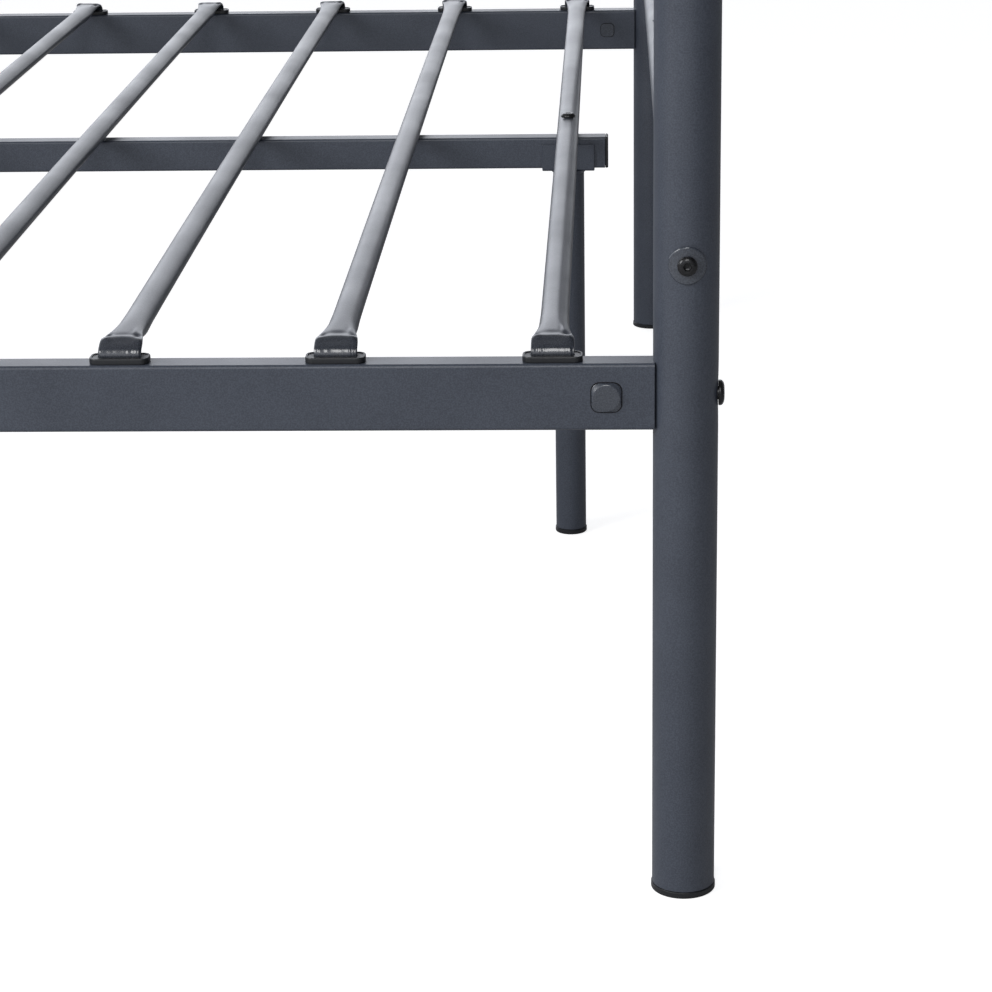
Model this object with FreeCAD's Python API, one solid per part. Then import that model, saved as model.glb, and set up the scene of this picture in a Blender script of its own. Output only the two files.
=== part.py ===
import FreeCAD, Part
import math
import os

# Metal bed frame. Millimetres, +Z up, origin on the floor under the middle of the bed.
# +X is the foot end, -X the head end, -Y the left side and +Y the right side seen from the foot.

# ---------------------------------------------------------------- driving dimensions
POST_SPACING_Y = 1350.0  # between the axes of the left and right posts
SLAT_COUNT = 15
SLAT_PITCH = 126.0
SLAT_END_OFFSET = 77.0  # from a post axis to the first slat
POST_SPACING_X = 2 * SLAT_END_OFFSET + (SLAT_COUNT - 1) * SLAT_PITCH

POST_D = 38.0
POST_WALL = 1.5
HEAD_POST_TOP_Z = 900.0
FOOT_POST_TOP_Z = 600.0

RAIL_TOP_Z = 335.0
RAIL_HEIGHT = 40.0
RAIL_WIDTH = 20.0
RAIL_WALL = 1.5
RAIL_CORNER_R = 2.0

CENTRE_RAIL_HEIGHT = 25.0
CENTRE_RAIL_WIDTH = 18.0
CENTRE_RAIL_SETBACK = 45.0  # from a post axis line to the rail's closed end
CENTRE_RAIL_CAP = 2.5
CENTRE_RAIL_PLUG = 12.0  # how far its end cap goes into the tube

CROSS_TUBE_D = 25.0
CROSS_TUBE_WALL = 1.2
CROSS_TUBE_ABOVE_RAIL = 80.0  # from the side rail's mid height to the lower cross tube's axis
TOP_RAIL_DROP = 40.0  # from a post's top to its top rail's axis
SPINDLE_D = 12.0
SPINDLE_WALL = 1.0
SPINDLE_COUNT = 9
SPINDLE_PITCH = 135.0

SLAT_WIDTH = 17.0
SLAT_HEIGHT = 13.0
SLAT_WALL = 1.0
SLAT_BASE_ABOVE_RAIL = 6.6  # axis above the rail's top where the tube leaves its flattened end
SLAT_MID_ABOVE_RAIL = 8.5  # axis above the rail's top at mid span
SLAT_FLAT_ABOVE_RAIL = 7.0
SLAT_FLAT_WIDTH = 25.6
SLAT_FLAT_THICKNESS = 3.4
SLAT_FLAT_LENGTH = 20.0  # from the rail's middle to where the flattened end swells
SLAT_TAPER_LENGTH = 65.0  # from the rail's middle to the full section
SLAT_BEND_R = 3.5
SLAT_TONGUE_DEPTH = 10.0  # below the rail's top
SLAT_TONGUE_WIDTH = 24.6

SLEEVE_COLLAR = (35.0, 15.0, 2.0)
SLEEVE_TIER = (32.0, 12.0, 1.6)
SLEEVE_SOCKET = (28.0, 7.0)
SLEEVE_DEPTH = 15.0
SLEEVE_POCKET = (26.0, 4.0)
SLEEVE_CORNER_R = 3.0
SLEEVE_POCKET_R = 1.9
SLEEVE_FLOOR = 2.0

LEG_D = 25.0
LEG_WALL = 1.2
LEG_SLATS = (1, 8, 15)
SADDLE_LENGTH = 42.0
SADDLE_HEIGHT = 21.5
SADDLE_THICKNESS = 2.0
SADDLE_CORNER_R = 1.5

FOOT_CAP_HEIGHT = 4.0
FOOT_CAP_LIP = 0.6
FOOT_CAP_PLUG = 22.0
FOOT_CAP_CHAMFER = 0.8
TOP_CAP_FLANGE = 3.0
TOP_CAP_DOME = 7.0

RAIL_BOLT_D = 8.0
RAIL_BOLT_HEAD = (15.0, 3.4, 5.0)  # diameter, height and the width of its hexagon socket
NUT_SETBACK = 27.0  # from the post's wall to the cross nut's axis
NUT_BARREL = 14.0
NUT_BARREL_R = 4.0
NUT_CAP = 17.5
NUT_CAP_R = 5.0
NUT_CAP_H = 2.0

TUBE_BOLT_D = 6.0
TUBE_BOLT_HEAD = (11.5, 3.3, 4.0)
BOLT_TIP_CHAMFER = 0.5
WASHER_D = 22.0
WASHER_T = 1.2
INSERT_LENGTH = 18.0
INSERT_SETBACK = 3.0  # from the post's wall to a cross tube's insert
SPACER_D = 16.0

GAP = 0.2  # assembly clearance round plugs, tongues and bolts
REACH = 40.0  # how far a cutting shape runs past the piece it cuts

# ---------------------------------------------------------------- places worked out from them
HALF_X = POST_SPACING_X / 2
HALF_Y = POST_SPACING_Y / 2
POST_R = POST_D / 2
RAIL_MID_Z = RAIL_TOP_Z - RAIL_HEIGHT / 2
LOWER_CROSS_Z = RAIL_MID_Z + CROSS_TUBE_ABOVE_RAIL
HEAD_TOP_RAIL_Z = HEAD_POST_TOP_Z - TOP_RAIL_DROP
FOOT_TOP_RAIL_Z = FOOT_POST_TOP_Z - TOP_RAIL_DROP
CENTRE_RAIL_BOTTOM_Z = RAIL_TOP_Z - CENTRE_RAIL_HEIGHT
LEG_TOP_Z = CENTRE_RAIL_BOTTOM_Z - SADDLE_THICKNESS
SLAT_MID_Z = RAIL_TOP_Z + SLAT_MID_ABOVE_RAIL
SPACER_H = SLAT_MID_ABOVE_RAIL - SLAT_HEIGHT / 2

ENDS = {"head": -1, "foot": 1}
SIDES = {"left": -1, "right": 1}
POST_TOPS = {"head": HEAD_POST_TOP_Z, "foot": FOOT_POST_TOP_Z}
TOP_RAILS = {"head": HEAD_TOP_RAIL_Z, "foot": FOOT_TOP_RAIL_Z}

X_DIR = FreeCAD.Vector(1, 0, 0)
Y_DIR = FreeCAD.Vector(0, 1, 0)
Z_DIR = FreeCAD.Vector(0, 0, 1)


def vec(x, y, z):
    return FreeCAD.Vector(x, y, z)


def save(node, *solids):
    """Writes one node's STEP file; several solids go in as one group."""
    shape = solids[0] if len(solids) == 1 else Part.makeCompound(list(solids))
    shape.exportStep("parts/%s.step" % node)


def slat_x(number):
    return -HALF_X + SLAT_END_OFFSET + (SLAT_COUNT - number) * SLAT_PITCH


def rod(radius, start, end):
    """A solid round bar between two points."""
    return Part.makeCylinder(radius, (end - start).Length, start, end - start)


def tube(outer_d, wall, start, end):
    return rod(outer_d / 2, start, end).cut(rod(outer_d / 2 - wall, start, end))


def rounded_box(size, base, radius, axis="z"):
    """A box centred on base that rises from it along axis, with its long edges rounded."""
    a, b, height = size
    box = Part.makeBox(a, b, height, vec(-a / 2, -b / 2, 0))
    edges = [e for e in box.Edges if abs(e.tangentAt(0).z) > 0.9]
    box = box.makeFillet(radius, edges)
    if axis == "x":
        box.rotate(vec(0, 0, 0), Y_DIR, 90)
    if axis == "y":
        box.rotate(vec(0, 0, 0), X_DIR, -90)
    box.translate(base)
    return box


def rectangular_tube(height, width, x0, x1, y, top_z):
    """A rectangular tube along X with a wall all round."""
    base = vec(x0, y, top_z - height / 2)
    outer = rounded_box((height, width, x1 - x0), base, RAIL_CORNER_R, "x")
    bore = (height - 2 * RAIL_WALL, width - 2 * RAIL_WALL, x1 - x0)
    return outer.cut(rounded_box(bore, base, RAIL_CORNER_R / 2, "x"))


# ---------------------------------------------------------------- posts and their caps
def post(end, side):
    x, y = ENDS[end] * HALF_X, SIDES[side] * HALF_Y
    body = tube(POST_D, POST_WALL, vec(x, y, FOOT_CAP_HEIGHT), vec(x, y, POST_TOPS[end]))
    for z in (LOWER_CROSS_Z, TOP_RAILS[end]):
        body = body.cut(rod(TUBE_BOLT_D / 2 + GAP, vec(x, y - POST_R, z), vec(x, y + POST_R, z)))
    start = vec(x - POST_R, y, RAIL_MID_Z)
    return body.cut(rod(RAIL_BOLT_D / 2 + GAP, start, vec(x + POST_R, y, RAIL_MID_Z)))


def foot_cap(x, y, outer_d, wall):
    """A plastic cap: a lipped disc under the tube and a plug inside it."""
    lip_r = outer_d / 2 + FOOT_CAP_LIP
    disc = rod(lip_r, vec(x, y, 0), vec(x, y, FOOT_CAP_HEIGHT))
    disc = disc.makeChamfer(FOOT_CAP_CHAMFER, [e for e in disc.Edges if e.BoundBox.ZMax < 0.01])
    plug_r = outer_d / 2 - wall - GAP / 2
    return disc.fuse(rod(plug_r, vec(x, y, 0.5), vec(x, y, FOOT_CAP_PLUG)))


def post_top_cap(end, side):
    """A low domed cap that plugs the top of a post."""
    x, y, z = ENDS[end] * HALF_X, SIDES[side] * HALF_Y, POST_TOPS[end]
    lip_r = POST_R + FOOT_CAP_LIP
    flange = rod(lip_r, vec(x, y, z), vec(x, y, z + TOP_CAP_FLANGE))
    dome_r = (lip_r ** 2 + TOP_CAP_DOME ** 2) / (2 * TOP_CAP_DOME)
    dome = Part.makeSphere(dome_r, vec(x, y, z + TOP_CAP_FLANGE + TOP_CAP_DOME - dome_r))
    dome = dome.common(rod(lip_r, vec(x, y, z + TOP_CAP_FLANGE), vec(x, y, z + REACH)))
    plug_r = POST_R - POST_WALL - GAP / 2
    plug = rod(plug_r, vec(x, y, z - FOOT_CAP_PLUG + TOP_CAP_FLANGE), vec(x, y, z + 1))
    return flange.fuse([dome, plug]).removeSplitter()


# ---------------------------------------------------------------- side rails and centre rail
def side_rail(side):
    """A rectangular tube whose ends hug the posts, slotted on top for the slat sleeves."""
    y = SIDES[side] * HALF_Y
    rail = rectangular_tube(RAIL_HEIGHT, RAIL_WIDTH, -HALF_X, HALF_X, y, RAIL_TOP_Z)
    tools = []
    for direction in ENDS.values():
        x = direction * HALF_X
        tools.append(rod(POST_R + GAP, vec(x, y, 0), vec(x, y, RAIL_TOP_Z + REACH)))
        nut_x = direction * (HALF_X - POST_R - NUT_SETBACK)
        size = (NUT_BARREL + 2 * GAP, NUT_BARREL + 2 * GAP, RAIL_WIDTH + 4)
        tools.append(rounded_box(size, vec(nut_x, y - RAIL_WIDTH / 2 - 2, RAIL_MID_Z), NUT_BARREL_R, "y"))
    for number in range(1, SLAT_COUNT + 1):
        size = (SLEEVE_SOCKET[0] + 2 * GAP, SLEEVE_SOCKET[1] + 2 * GAP, 6)
        tools.append(rounded_box(size, vec(slat_x(number), y, RAIL_TOP_Z - 3), SLEEVE_CORNER_R))
    return rail.cut(Part.makeCompound(tools))


def centre_rail():
    """A smaller tube down the middle, drilled for the bolts that hold its legs."""
    x1 = HALF_X - CENTRE_RAIL_SETBACK - CENTRE_RAIL_CAP
    rail = rectangular_tube(CENTRE_RAIL_HEIGHT, CENTRE_RAIL_WIDTH, -x1, x1, 0, RAIL_TOP_Z)
    for number in LEG_SLATS:
        x = slat_x(number)
        hole = rod(TUBE_BOLT_D / 2 + GAP, vec(x, 0, LEG_TOP_Z), vec(x, 0, RAIL_TOP_Z + REACH))
        rail = rail.cut(hole)
    return rail


def centre_rail_cap(end):
    """A push-in plastic cap that closes one end of the centre rail."""
    direction = ENDS[end]
    mid_z = RAIL_TOP_Z - CENTRE_RAIL_HEIGHT / 2
    outer_x = direction * (HALF_X - CENTRE_RAIL_SETBACK)
    seat_x = outer_x - direction * CENTRE_RAIL_CAP
    size = (CENTRE_RAIL_HEIGHT, CENTRE_RAIL_WIDTH, CENTRE_RAIL_CAP)
    plate = rounded_box(size, vec(min(outer_x, seat_x), 0, mid_z), RAIL_CORNER_R, "x")
    plug_h = CENTRE_RAIL_HEIGHT - 2 * RAIL_WALL - GAP
    plug_w = CENTRE_RAIL_WIDTH - 2 * RAIL_WALL - GAP
    plug_x = seat_x if direction < 0 else seat_x - CENTRE_RAIL_PLUG
    size = (plug_h, plug_w, CENTRE_RAIL_PLUG)
    return plate.fuse(rounded_box(size, vec(plug_x, 0, mid_z), RAIL_CORNER_R / 2, "x"))


# ---------------------------------------------------------------- slats and their sleeves
def section(x, y, z, tilt, width, thickness):
    """An elliptical section across a slat; tilt turns its normal from +Y towards +Z, in degrees."""
    ring = Part.Wire(Part.Ellipse(vec(0, 0, 0), width / 2, thickness / 2).toShape())
    ring.rotate(vec(0, 0, 0), X_DIR, 90 + tilt)
    ring.translate(vec(x, y, z))
    return ring


def loft(sections):
    return Part.makeLoft(sections, True, False)


def slat_axis_z(y):
    """Height of the slat's axis at y, along a shallow crown that is highest in the middle."""
    span = HALF_Y - SLAT_TAPER_LENGTH
    rise = SLAT_MID_ABOVE_RAIL - SLAT_BASE_ABOVE_RAIL
    return RAIL_TOP_Z + SLAT_MID_ABOVE_RAIL - rise * (y / span) ** 2


def slat_span(x, inset, reach):
    """The long elliptical part of a slat, made smaller by inset for its bore."""
    steps = 8
    places = [-reach + 2 * reach * i / steps for i in range(steps + 1)]
    width, height = SLAT_WIDTH - 2 * inset, SLAT_HEIGHT - 2 * inset
    return loft([section(x, y, slat_axis_z(y), 0, width, height) for y in places])


def slat_taper(x):
    """From the full tube down to the flattened end, at the left (-Y) side."""
    y_out = -HALF_Y + SLAT_FLAT_LENGTH
    y_in = -HALF_Y + SLAT_TAPER_LENGTH
    rings = []
    steps = 5
    for i in range(steps + 1):
        t = i / steps
        blend = (1 - math.cos(math.pi * t)) / 2
        width = SLAT_FLAT_WIDTH + (SLAT_WIDTH - SLAT_FLAT_WIDTH) * blend
        height = SLAT_FLAT_THICKNESS + (SLAT_HEIGHT - SLAT_FLAT_THICKNESS) * blend
        y = y_out + (y_in - y_out) * t
        z = RAIL_TOP_Z + SLAT_FLAT_ABOVE_RAIL
        z += (slat_axis_z(y_in) - z) * blend
        rings.append(section(x, y, z, 0, width, height))
    return loft(rings)


def slat_lip(x):
    """The flattened end, bent down through a right angle into a tongue for the sleeve."""
    flat_z = RAIL_TOP_Z + SLAT_FLAT_ABOVE_RAIL
    flat = loft([
        section(x, -HALF_Y + SLAT_BEND_R, flat_z, 0, SLAT_FLAT_WIDTH, SLAT_FLAT_THICKNESS),
        section(x, -HALF_Y + SLAT_FLAT_LENGTH, flat_z, 0, SLAT_FLAT_WIDTH, SLAT_FLAT_THICKNESS),
    ])
    rings = []
    steps = 4
    for i in range(steps + 1):
        t = i / steps
        angle = math.radians(90 * t)
        y = -HALF_Y + SLAT_BEND_R * (1 - math.sin(angle))
        z = flat_z - SLAT_BEND_R * (1 - math.cos(angle))
        width = SLAT_FLAT_WIDTH + (SLAT_TONGUE_WIDTH - SLAT_FLAT_WIDTH) * t
        rings.append(section(x, y, z, 90 * t, width, SLAT_FLAT_THICKNESS))
    bend = loft(rings)
    top = section(x, -HALF_Y, flat_z - SLAT_BEND_R, 90, SLAT_TONGUE_WIDTH, SLAT_FLAT_THICKNESS)
    tip = section(x, -HALF_Y, RAIL_TOP_Z - SLAT_TONGUE_DEPTH, 90, SLAT_TONGUE_WIDTH, SLAT_FLAT_THICKNESS)
    return [flat, bend, loft([top, tip])]


def slat(number):
    """One sprung cross slat: a hollow elliptical tube with both ends flattened and turned down."""
    x = slat_x(number)
    reach = HALF_Y - SLAT_TAPER_LENGTH
    span = slat_span(x, 0, reach).cut(slat_span(x, SLAT_WALL, reach - 4))
    left = [slat_taper(x)] + slat_lip(x)
    right = [piece.mirror(vec(0, 0, 0), Y_DIR) for piece in left]
    body = span.fuse(left + right)
    if number in LEG_SLATS:
        hole = rod(TUBE_BOLT_D / 2 + GAP, vec(x, 0, RAIL_TOP_Z), vec(x, 0, RAIL_TOP_Z + REACH))
        body = body.cut(hole)
    return body


def slat_sleeve(number, side):
    """A plastic sleeve: a stepped collar on the rail, and a socket through its slot for the tongue."""
    x, y = slat_x(number), SIDES[side] * HALF_Y
    collar = rounded_box(SLEEVE_COLLAR, vec(x, y, RAIL_TOP_Z), SLEEVE_CORNER_R)
    tier = rounded_box(SLEEVE_TIER, vec(x, y, RAIL_TOP_Z + SLEEVE_COLLAR[2]), SLEEVE_CORNER_R)
    bottom = RAIL_TOP_Z - SLEEVE_DEPTH
    socket = rounded_box(SLEEVE_SOCKET + (SLEEVE_DEPTH,), vec(x, y, bottom), SLEEVE_CORNER_R)
    pocket = rounded_box(SLEEVE_POCKET + (REACH,), vec(x, y, bottom + SLEEVE_FLOOR), SLEEVE_POCKET_R)
    return collar.fuse([tier, socket]).cut(pocket).removeSplitter()


# ---------------------------------------------------------------- centre legs
def centre_leg(number):
    x = slat_x(number)
    return tube(LEG_D, LEG_WALL, vec(x, 0, FOOT_CAP_HEIGHT), vec(x, 0, LEG_TOP_Z))


def leg_saddle(number):
    """A U-shaped bracket that cradles the centre rail on top of a leg."""
    x = slat_x(number)
    width = CENTRE_RAIL_WIDTH + 2 * (SADDLE_THICKNESS + GAP)
    corner = vec(x - SADDLE_LENGTH / 2, -width / 2, LEG_TOP_Z)
    block = Part.makeBox(SADDLE_LENGTH, width, SADDLE_HEIGHT, corner)
    lower = [e for e in block.Edges if e.BoundBox.ZMax < LEG_TOP_Z + 0.01 and e.BoundBox.XLength > 1]
    upright = [e for e in block.Edges if e.BoundBox.ZLength > 1]
    block = block.makeFillet(SADDLE_CORNER_R, lower + upright)
    slot_w = CENTRE_RAIL_WIDTH + 2 * GAP
    corner = vec(x - SADDLE_LENGTH / 2 - 1, -slot_w / 2, CENTRE_RAIL_BOTTOM_Z)
    slot = Part.makeBox(SADDLE_LENGTH + 2, slot_w, REACH, corner)
    hole = rod(TUBE_BOLT_D / 2 + GAP, vec(x, 0, LEG_TOP_Z - 5), vec(x, 0, RAIL_TOP_Z))
    return block.cut(slot).cut(hole)


def plug_insert(axis_start, direction, tube_d, wall):
    """A tapped steel plug that closes a tube's end and takes its bolt."""
    bar = rod(tube_d / 2 - wall - GAP / 2, axis_start, axis_start + direction * INSERT_LENGTH)
    return bar.cut(rod(TUBE_BOLT_D / 2, axis_start, axis_start + direction * INSERT_LENGTH))


# ---------------------------------------------------------------- cross tubes and spindles
def cross_tube(end, z):
    """A round tube between the two posts of one end, its ends hollowed to hug them."""
    x = ENDS[end] * HALF_X
    body = tube(CROSS_TUBE_D, CROSS_TUBE_WALL, vec(x, -HALF_Y, z), vec(x, HALF_Y, z))
    for direction in SIDES.values():
        y = direction * HALF_Y
        body = body.cut(rod(POST_R + GAP, vec(x, y, z - REACH), vec(x, y, z + REACH)))
    return body


def spindles(end):
    """The upright bars between the lower cross tube and the top rail of one end."""
    x = ENDS[end] * HALF_X
    lower = rod(CROSS_TUBE_D / 2, vec(x, -HALF_Y, LOWER_CROSS_Z), vec(x, HALF_Y, LOWER_CROSS_Z))
    upper = rod(CROSS_TUBE_D / 2, vec(x, -HALF_Y, TOP_RAILS[end]), vec(x, HALF_Y, TOP_RAILS[end]))
    bars = []
    for i in range(SPINDLE_COUNT):
        y = (i - (SPINDLE_COUNT - 1) / 2) * SPINDLE_PITCH
        bar = tube(SPINDLE_D, SPINDLE_WALL, vec(x, y, LOWER_CROSS_Z), vec(x, y, TOP_RAILS[end]))
        bars.append(bar.cut(lower).cut(upper))
    return bars


# ---------------------------------------------------------------- fasteners
def button_bolt(shank_d, head_sizes, seat, direction, length):
    """A domed socket bolt: seat is under the head and direction points along the shank."""
    head_d, head_h, socket = head_sizes
    back = direction * -1
    head = rod(head_d / 2, seat, seat + back * head_h)
    top = [e for e in head.Edges if near(e, seat + back * head_h)]
    head = head.makeFillet(head_h * 0.6, top)
    shank = rod(shank_d / 2, seat, seat + direction * length)
    tip = [e for e in shank.Edges if near(e, seat + direction * length)]
    shank = shank.makeChamfer(BOLT_TIP_CHAMFER, tip)
    key = hexagon_bar(socket, seat + back * (head_h * 0.25), back, head_h)
    return head.fuse(shank).cut(key)


def near(edge, centre):
    """True for a circular edge centred at the given point."""
    if edge.Curve.TypeId != "Part::GeomCircle":
        return False
    return (edge.Curve.Center - centre).Length < 0.01


def hexagon_bar(across_flats, start, direction, length):
    radius = across_flats / math.sqrt(3)
    corners = [vec(radius * math.cos(math.radians(60 * i)), radius * math.sin(math.radians(60 * i)), 0)
               for i in range(7)]
    bar = Part.Face(Part.makePolygon(corners)).extrude(vec(0, 0, length))
    bar.Placement = FreeCAD.Placement(start, FreeCAD.Rotation(Z_DIR, direction))
    return bar


def rail_bolt(end, side):
    """Holds a side rail to its post from outside the end of the bed."""
    direction = ENDS[end]
    seat = vec(direction * (HALF_X + POST_R), SIDES[side] * HALF_Y, RAIL_MID_Z)
    length = POST_D + NUT_SETBACK + NUT_BARREL / 2
    return button_bolt(RAIL_BOLT_D, RAIL_BOLT_HEAD, seat, X_DIR * -direction, length)


def cross_nut(end, side):
    """A square nut through the rail's two walls, capped on the outside and tapped across."""
    x = ENDS[end] * (HALF_X - POST_R - NUT_SETBACK)
    out = SIDES[side]
    y = out * HALF_Y
    barrel_length = RAIL_WIDTH + 1.0
    outer_face = y + out * RAIL_WIDTH / 2
    inner_face = outer_face - out * barrel_length
    size = (NUT_BARREL, NUT_BARREL, barrel_length)
    barrel = rounded_box(size, vec(x, min(outer_face, inner_face), RAIL_MID_Z), NUT_BARREL_R, "y")
    cap_y = min(outer_face, outer_face + out * NUT_CAP_H)
    cap = rounded_box((NUT_CAP, NUT_CAP, NUT_CAP_H), vec(x, cap_y, RAIL_MID_Z), NUT_CAP_R, "y")
    hole = rod(RAIL_BOLT_D / 2, vec(x - NUT_CAP, y, RAIL_MID_Z), vec(x + NUT_CAP, y, RAIL_MID_Z))
    return barrel.fuse(cap).cut(hole)


def tube_joints():
    """Every place where a bolt goes through a post into the end of a cross tube."""
    for end in ENDS:
        for z in (LOWER_CROSS_Z, TOP_RAILS[end]):
            for side in SIDES:
                yield ENDS[end] * HALF_X, SIDES[side], z


def saddle_washer(x, out, z):
    """A dished washer that follows the post's round wall."""
    y = out * HALF_Y
    shell = tube(POST_D + 2 * WASHER_T, WASHER_T, vec(x, y, z - WASHER_D), vec(x, y, z + WASHER_D))
    disc = rod(WASHER_D / 2, vec(x, y, z), vec(x, y + out * REACH, z))
    hole = rod(TUBE_BOLT_D / 2 + GAP, vec(x, y, z), vec(x, y + out * REACH, z))
    return shell.common(disc).cut(hole)


def tube_bolt(x, out, z):
    seat = vec(x, out * (HALF_Y + POST_R + WASHER_T), z)
    length = POST_D + WASHER_T + INSERT_SETBACK + INSERT_LENGTH * 0.7
    return button_bolt(TUBE_BOLT_D, TUBE_BOLT_HEAD, seat, Y_DIR * -out, length)


def tube_insert(x, out, z):
    start = vec(x, out * (HALF_Y - POST_R - INSERT_SETBACK), z)
    return plug_insert(start, Y_DIR * -out, CROSS_TUBE_D, CROSS_TUBE_WALL)


def slat_bolt(number):
    """Goes down through a slat, a spacer, the centre rail and the saddle into the leg's insert."""
    seat = vec(slat_x(number), 0, SLAT_MID_Z + SLAT_HEIGHT / 2)
    length = seat.z - LEG_TOP_Z + INSERT_LENGTH * 0.8
    return button_bolt(TUBE_BOLT_D, TUBE_BOLT_HEAD, seat, Z_DIR * -1, length)


def slat_spacer(number):
    x = slat_x(number)
    wall = (SPACER_D - TUBE_BOLT_D) / 2 - GAP
    return tube(SPACER_D, wall, vec(x, 0, RAIL_TOP_Z), vec(x, 0, RAIL_TOP_Z + SPACER_H))


def write_ends():
    for end in ENDS:
        for side in SIDES:
            x, y = ENDS[end] * HALF_X, SIDES[side] * HALF_Y
            save("%s_post_%s" % (end, side), post(end, side))
            save("%s_post_%s_foot_cap" % (end, side), foot_cap(x, y, POST_D, POST_WALL))
            save("%s_post_%s_top_cap" % (end, side), post_top_cap(end, side))
        save("%s_lower_cross_tube" % end, cross_tube(end, LOWER_CROSS_Z))
        save("%s_top_rail" % end, cross_tube(end, TOP_RAILS[end]))
        save("%s_spindles" % end, *spindles(end))


def write_deck():
    for side in SIDES:
        save("side_rail_%s" % side, side_rail(side))
        numbers = range(1, SLAT_COUNT + 1)
        save("slat_sleeves_%s" % side, *[slat_sleeve(n, side) for n in numbers])
    save("centre_rail", centre_rail())
    for end in ENDS:
        save("centre_rail_%s_cap" % end, centre_rail_cap(end))
    for number in range(1, SLAT_COUNT + 1):
        save("slat_%02d" % number, slat(number))
    for place, number in enumerate(LEG_SLATS, 1):
        save("centre_leg_%d" % place, centre_leg(number))
        save("centre_leg_%d_saddle" % place, leg_saddle(number))
        save("centre_leg_%d_foot_cap" % place, foot_cap(slat_x(number), 0, LEG_D, LEG_WALL))


def write_fasteners():
    corners = [(end, side) for end in ENDS for side in SIDES]
    save("rail_bolts", *[rail_bolt(end, side) for end, side in corners])
    save("rail_cross_nuts", *[cross_nut(end, side) for end, side in corners])
    save("cross_tube_bolts", *[tube_bolt(*place) for place in tube_joints()])
    save("cross_tube_washers", *[saddle_washer(*place) for place in tube_joints()])
    save("cross_tube_inserts", *[tube_insert(*place) for place in tube_joints()])
    save("slat_bolts", *[slat_bolt(number) for number in LEG_SLATS])
    save("slat_spacers", *[slat_spacer(number) for number in LEG_SLATS])
    save("leg_inserts", *[
        plug_insert(vec(slat_x(number), 0, LEG_TOP_Z), Z_DIR * -1, LEG_D, LEG_WALL) for number in LEG_SLATS
    ])


os.makedirs("parts", exist_ok=True)
write_ends()
write_deck()
write_fasteners()
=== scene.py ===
"""Looks for the metal bed frame: a bolted tube frame with sprung cross slats, finished in slate powder coat."""

from __future__ import annotations

import logging
import math
from dataclasses import dataclass
from enum import Enum
from typing import Callable, Iterable, Sequence

import bmesh
import bpy
import numpy as np
from mathutils import Matrix, Vector


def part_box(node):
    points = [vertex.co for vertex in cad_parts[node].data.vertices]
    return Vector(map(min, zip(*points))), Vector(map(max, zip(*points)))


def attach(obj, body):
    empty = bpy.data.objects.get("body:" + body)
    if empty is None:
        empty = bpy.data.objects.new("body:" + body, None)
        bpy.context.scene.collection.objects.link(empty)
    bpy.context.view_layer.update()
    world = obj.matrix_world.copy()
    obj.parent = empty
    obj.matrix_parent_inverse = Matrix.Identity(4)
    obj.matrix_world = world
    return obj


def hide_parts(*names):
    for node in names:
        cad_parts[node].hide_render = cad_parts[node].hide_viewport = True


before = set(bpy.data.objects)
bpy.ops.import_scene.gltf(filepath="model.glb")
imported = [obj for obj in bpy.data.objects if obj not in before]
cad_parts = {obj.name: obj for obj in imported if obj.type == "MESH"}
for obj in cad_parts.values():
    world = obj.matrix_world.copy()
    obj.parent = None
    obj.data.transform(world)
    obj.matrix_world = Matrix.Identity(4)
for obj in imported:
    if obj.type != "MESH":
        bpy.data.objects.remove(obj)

log = logging.getLogger("bed_frame")

BODY = "root"
MM = 0.001
QUARTER = math.pi / 2

Tree = bpy.types.NodeTree
Socket = bpy.types.NodeSocket
Layers = list[tuple[np.ndarray, float]]

GRAIN_PER_METRE = 1150.0
CLOUDS_PER_METRE = 26.0
CLOUD_SHARE = 0.28
WAVES_PER_METRE = 420.0
GRIT_PER_METRE = 1500.0
RUBS_PER_METRE = 14.0


class End(str, Enum):
    """The two ends of the bed."""

    HEAD = "head"
    FOOT = "foot"


class Side(str, Enum):
    """The two long sides of the bed, as seen from its foot."""

    LEFT = "left"
    RIGHT = "right"


class Slot(str, Enum):
    """Names of the record's material slots."""

    FRAME = "frame_paint"
    SLAT = "slat_paint"
    PLASTIC = "black_plastic"
    BOLT = "black_zinc"
    STEEL = "steel"


# --- shader groups ---


def new_group(name: str, inputs: Sequence[tuple], outputs: Sequence[tuple]) -> bpy.types.ShaderNodeTree:
    """Makes an empty shader node group with named sockets.

    Args:
        name: The group's name.
        inputs: (socket name, socket type, default value) for each input.
        outputs: (socket name, socket type) for each output.

    Returns:
        The new node tree, with nodes named "in" and "out".
    """
    tree = bpy.data.node_groups.new(name, "ShaderNodeTree")
    for label, kind, value in inputs:
        socket = tree.interface.new_socket(label, in_out="INPUT", socket_type=kind)
        socket.default_value = value
    for label, kind in outputs:
        tree.interface.new_socket(label, in_out="OUTPUT", socket_type=kind)
    tree.nodes.new("NodeGroupInput").name = "in"
    tree.nodes.new("NodeGroupOutput").name = "out"
    return tree


def noise(tree: Tree, scale: float, detail: float = 2.0) -> Socket:
    """Adds a noise texture in object space."""
    place = tree.nodes.new("ShaderNodeTexCoord")
    node = tree.nodes.new("ShaderNodeTexNoise")
    node.inputs["Scale"].default_value = scale
    node.inputs["Detail"].default_value = detail
    tree.links.new(place.outputs["Object"], node.inputs["Vector"])
    return node.outputs["Fac"]


def remap(tree: Tree, source: Socket, low: float, high: float) -> Socket:
    """Stretches a value so that low becomes 0 and high becomes 1."""
    node = tree.nodes.new("ShaderNodeMapRange")
    node.inputs["From Min"].default_value = low
    node.inputs["From Max"].default_value = high
    tree.links.new(source, node.inputs["Value"])
    return node.outputs[0]


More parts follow.
